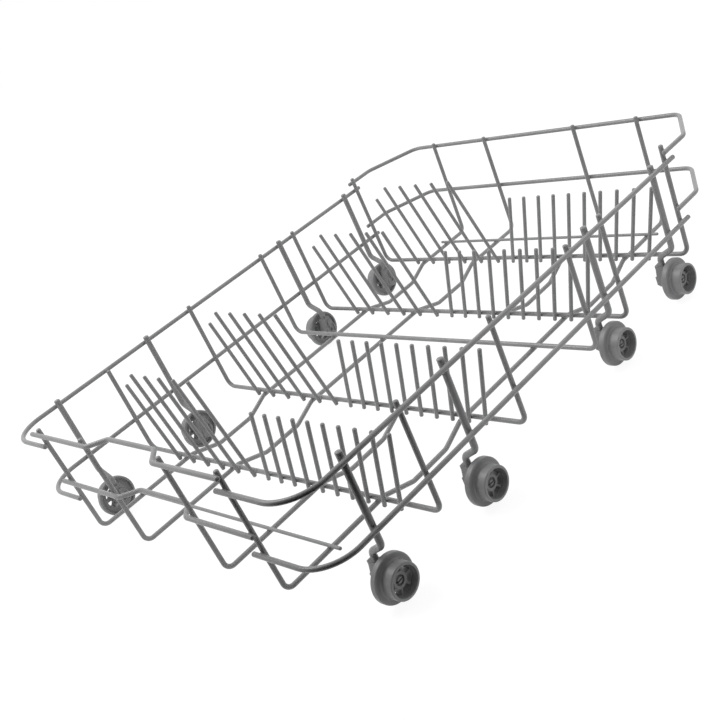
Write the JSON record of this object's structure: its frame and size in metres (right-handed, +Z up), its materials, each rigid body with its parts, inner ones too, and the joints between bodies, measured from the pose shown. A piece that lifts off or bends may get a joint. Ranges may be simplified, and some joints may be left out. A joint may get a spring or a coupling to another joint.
{
  "type": "dishwasher basket",
  "caption": "Lower basket of a slim dishwasher: coated wire floor and walls, leaning plate tines, recessed front bars and flanged clip-on wheels on joggled legs.",
  "frame": {"origin": "on the ground, under the middle of the basket", "axes": "+Y to the rear, away from the front bars with the hand recess; +X to the right; +Z up"},
  "size_m": [0.3846, 0.532, 0.1306],
  "materials": {
    "coated_wire": "satin grey dip coating on steel wire",
    "clip_plastic": "moulded grey polypropylene",
    "wheel_plastic": "moulded grey polypropylene"
  },
  "bodies": {
    "basket": {"cross_wire_1": "coated_wire", "cross_wire_2": "coated_wire", "cross_wire_3": "coated_wire", "cross_wire_4": "coated_wire", "cross_wire_5": "coated_wire", "floor_wire_1": "coated_wire", "floor_wire_2": "coated_wire", "floor_wire_3": "coated_wire", "floor_wire_4": "coated_wire", "left_top_rail": "coated_wire", "left_lower_rail": "coated_wire", "right_top_rail": "coated_wire", "right_lower_rail": "coated_wire", "front_upper_bar": "coated_wire", "front_lower_bar": "coated_wire", "rear_upper_rail": "coated_wire", "rear_lower_rail": "coated_wire", "front_tie_wire": "coated_wire", "rear_tie_wire": "coated_wire", "long_tines_1": "coated_wire", "short_tines_1": "coated_wire", "long_tines_2": "coated_wire", "short_tines_2": "coated_wire", "long_tines_3": "coated_wire", "short_tines_3": "coated_wire", "long_tines_4": "coated_wire", "short_tines_4": "coated_wire", "wheel_leg_left_1": "coated_wire", "wheel_leg_left_2": "coated_wire", "wheel_leg_left_3": "coated_wire", "wheel_leg_left_4": "coated_wire", "wheel_leg_right_1": "coated_wire", "wheel_leg_right_2": "coated_wire", "wheel_leg_right_3": "coated_wire", "wheel_leg_right_4": "coated_wire", "wheel_clip_left_1": "clip_plastic", "wheel_clip_left_2": "clip_plastic", "wheel_clip_left_3": "clip_plastic", "wheel_clip_left_4": "clip_plastic", "wheel_clip_right_1": "clip_plastic", "wheel_clip_right_2": "clip_plastic", "wheel_clip_right_3": "clip_plastic", "wheel_clip_right_4": "clip_plastic"},
    "wheel_left_1": {"wheel_left_1": "wheel_plastic"},
    "wheel_left_2": {"wheel_left_2": "wheel_plastic"},
    "wheel_left_3": {"wheel_left_3": "wheel_plastic"},
    "wheel_left_4": {"wheel_left_4": "wheel_plastic"},
    "wheel_right_1": {"wheel_right_1": "wheel_plastic"},
    "wheel_right_2": {"wheel_right_2": "wheel_plastic"},
    "wheel_right_3": {"wheel_right_3": "wheel_plastic"},
    "wheel_right_4": {"wheel_right_4": "wheel_plastic"}
  },
  "joints": [
    {"name": "wheel_left_1_spin", "type": "hinge", "parent": "basket", "child": "wheel_left_1", "pos_m": [-0.18162, -0.21486, 0.0178], "axis": [1, 0, 0], "continuous": true},
    {"name": "wheel_left_2_spin", "type": "hinge", "parent": "basket", "child": "wheel_left_2", "pos_m": [-0.18162, -0.11246, 0.0178], "axis": [1, 0, 0], "continuous": true},
    {"name": "wheel_left_3_spin", "type": "hinge", "parent": "basket", "child": "wheel_left_3", "pos_m": [-0.18162, 0.06549, 0.0178], "axis": [1, 0, 0], "continuous": true},
    {"name": "wheel_left_4_spin", "type": "hinge", "parent": "basket", "child": "wheel_left_4", "pos_m": [-0.18162, 0.16599, 0.0178], "axis": [1, 0, 0], "continuous": true},
    {"name": "wheel_right_1_spin", "type": "hinge", "parent": "basket", "child": "wheel_right_1", "pos_m": [0.18162, -0.21486, 0.0178], "axis": [1, 0, 0], "continuous": true},
    {"name": "wheel_right_2_spin", "type": "hinge", "parent": "basket", "child": "wheel_right_2", "pos_m": [0.18162, -0.11246, 0.0178], "axis": [1, 0, 0], "continuous": true},
    {"name": "wheel_right_3_spin", "type": "hinge", "parent": "basket", "child": "wheel_right_3", "pos_m": [0.18162, 0.06549, 0.0178], "axis": [1, 0, 0], "continuous": true},
    {"name": "wheel_right_4_spin", "type": "hinge", "parent": "basket", "child": "wheel_right_4", "pos_m": [0.18162, 0.16599, 0.0178], "axis": [1, 0, 0], "continuous": true}
  ]
}
